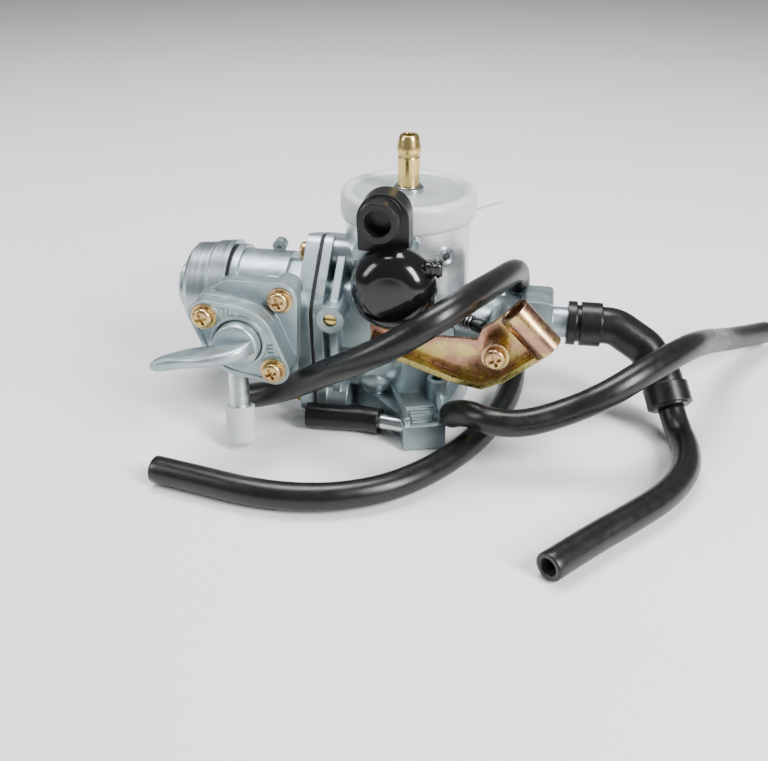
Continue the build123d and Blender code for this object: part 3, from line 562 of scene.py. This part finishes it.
def make_lever():
    """The tap's disc with its thumb blade, which thins to the tip."""
    disc = [(0, 28.45), (2.95, 28.45), (2.95, 33.3), (6.0, 33.3), (6.05, 33.5), (6.05, 43.7),
            (5.85, 44.15), (5.4, 44.35), (0, 44.4)]
    base = lathe("tap_disc", disc, (TAP[0], 0, TAP[1]), (0, -1, 0), mats["lever"], body="tap",
                 slot="die_cast")
    inner = [(-5.3, -43.6), (0, -43.6), (5.0, -43.8), (10, -44.4), (13.5, -45.5), (17.5, -47.9),
             (20.4, -50.4)]
    outer = [(-5.3, -45.2), (-3.6, -48.6), (0, -51.3), (6.0, -52.4), (13.0, -51.8), (18, -52.2),
             (20.4, -51.9)]
    right = (cos(LEVER_TURN), sin(LEVER_TURN))
    rings = []
    for step in range(LEVER_STEPS + 1):
        u = LEVER_START + (LEVER_TIP - LEVER_START) * step / LEVER_STEPS
        low, high = along(inner, u), along(outer, u)
        middle, half = (low + high) / 2, abs(high - low) / 2
        thick = LEVER_TIP_THICK.get(step, LEVER_HALF_THICK)
        ring = []
        for k in range(28):
            a = 2 * pi * k / 28
            y = middle + half * abs(cos(a)) ** 0.5 * (1 if cos(a) > 0 else -1)
            w = thick * abs(sin(a)) ** 0.6 * (1 if sin(a) > 0 else -1)
            x = TAP[0] + u * right[0] - w * right[1]
            z = TAP[1] + u * right[1] + w * right[0]
            ring.append((x, y, z))
        rings.append(ring)
    blade = rings_to_mesh("tap_blade", rings, mats["lever"], body="tap", slot="die_cast")
    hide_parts("tap_lever")
    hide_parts("tap_lever")


def make_port_cap():
    """The rubber cap on the front port: a pressed ball with a flat face and a ridged tab."""
    x, z = 0.9, 45.3
    profile = [(6.05, 27.45), (10.6, 27.45), (11.05, 27.9), (11.25, 29.0), (11.2, 30.2),
               (10.85, 31.9), (10.2, 33.45), (9.3, 34.75), (8.1, 35.8), (6.7, 36.55), (5.9, 36.8),
               (5.5, 36.82), (5.1, 36.9), (3.4, 37.22), (1.7, 37.36), (0, 37.4)]
    ball = lathe("port_cap_ball", profile, (x, 0, z), (0, -1, 0), mats["gloss"], segments=96,
                 slot="black_rubber")
    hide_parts("front_port_cap")
    rings = []
    for step in range(13):
        across = 9.2 + 0.35 * step
        swell = 0.35 if step % 4 in (1, 2) and step > 2 else 0.0
        ring = []
        for k in range(24):
            a = 2 * pi * k / 24
            y = -30.5 + (2.2 + swell) * abs(cos(a)) ** 0.45 * (1 if cos(a) > 0 else -1)
            h = 51.9 + (1.75 + swell) * abs(sin(a)) ** 0.45 * (1 if sin(a) > 0 else -1)
            ring.append((across, y, h))
        rings.append(ring)
    tab = rings_to_mesh("port_cap_tab", rings, mats["gloss"], slot="black_rubber")
    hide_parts("front_port_cap")


def make_barrel_cap():
    """The frosted cap: a raised round rim, a thinner middle and a skirt over the barrel."""
    profile = [(3.05, 57.05), (17.5, 57.05), (17.5, 55.0), (18.1, 55.0), (18.5, 55.25),
               (18.75, 56.0), (18.8, 57.5), (18.78, 60.3), (18.6, 61.4), (18.2, 62.1),
               (17.6, 62.45), (16.9, 62.48), (16.3, 62.3), (15.9, 61.9), (15.4, 61.72), (10, 61.7),
               (4.2, 61.7), (3.05, 61.7)]
    cap = lathe("frosted_cap", profile + profile[:1], (0, 0, 0), (0, 0, 1), mats["nylon"],
                segments=128, slot="nylon")
    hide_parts("barrel_cap")


MARK_Y = -40.65
MARK_DEPTH = 0.6


def make_marks():
    """Generic raised bars on the tap cover, where its positions are marked."""
    bars = [(-41.6, 40.1, 0.5, 1.8), (-40.6, 40.3, 0.5, 1.8), (-39.6, 40.4, 0.5, 1.8),
            (-38.2, 40.0, 0.5, 2.4), (-29.9, 31.4, 1.8, 0.5), (-29.7, 30.3, 1.8, 0.5),
            (-29.5, 29.2, 1.8, 0.5)]
    bm = bmesh.new()
    for x, z, wide, tall in bars:
        size = Matrix.Diagonal((wide * MM, MARK_DEPTH * MM, tall * MM, 1))
        place = Matrix.Translation(Vector((x, MARK_Y, z)) * MM)
        bmesh.ops.create_cube(bm, size=1.0, matrix=place @ size)
    mesh = bpy.data.meshes.new("tap_cover_marks")
    bm.to_mesh(mesh)
    bm.free()
    add_object("tap_cover_marks", mesh, mats["lever"], slot="die_cast")
    for face in mesh.polygons:
        face.use_smooth = False


# ---------------------------------------------------------------- floor and light
FLOOR_HALF = 3.0
FLOOR_GAP = 0.0002
LIGHT_AIM = Vector((0, 0, 0.03))


def make_stage():
    mesh = bpy.data.meshes.new("floor")
    signs = ((-1, -1), (1, -1), (1, 1), (-1, 1))
    corners = [(x * FLOOR_HALF, y * FLOOR_HALF, 0) for x, y in signs]
    mesh.from_pydata(corners, [], [(0, 1, 2, 3)])
    floor = bpy.data.objects.new("floor", mesh)
    scene.collection.objects.link(floor)
    floor.location.z = cad_bounds[0][2] - FLOOR_GAP
    s = Shader("pale_floor")
    s.colour(s.ramp(s.noise(8, 2), [(0.3, (0.70, 0.70, 0.69)), (0.7, (0.73, 0.73, 0.72))]))
    s.set(Roughness=0.7)
    mesh.materials.append(s.material)
    world = bpy.data.worlds.new("studio")
    world.use_nodes = True
    background = world.node_tree.nodes["Background"]
    background.inputs["Color"].default_value = (0.80, 0.83, 0.86, 1)
    background.inputs["Strength"].default_value = 0.30
    scene.world = world


def area_light(name, location, power, width, height, colour=(1, 1, 1)):
    data = bpy.data.lights.new(name, "AREA")
    data.shape = "RECTANGLE"
    data.size, data.size_y = width, height
    data.energy = power
    data.color = colour
    light = bpy.data.objects.new(name, data)
    light.location = location
    light.rotation_euler = (Vector(location) - LIGHT_AIM).to_track_quat("Z", "Y").to_euler()
    scene.collection.objects.link(light)


def make_lights():
    area_light("window", (0.46, -0.30, 0.40), 10.0, 0.16, 0.40, (1.0, 0.99, 0.97))
    area_light("overhead", (-0.08, 0.16, 0.70), 8.0, 0.45, 0.30)
    area_light("left_fill", (-0.6, -0.25, 0.40), 3.0, 0.20, 0.40, (0.93, 0.96, 1.0))


make_camera()
make_hoses()
make_lever()
make_port_cap()
make_barrel_cap()
make_marks()
dress_cad_nodes()
make_stage()
make_lights()
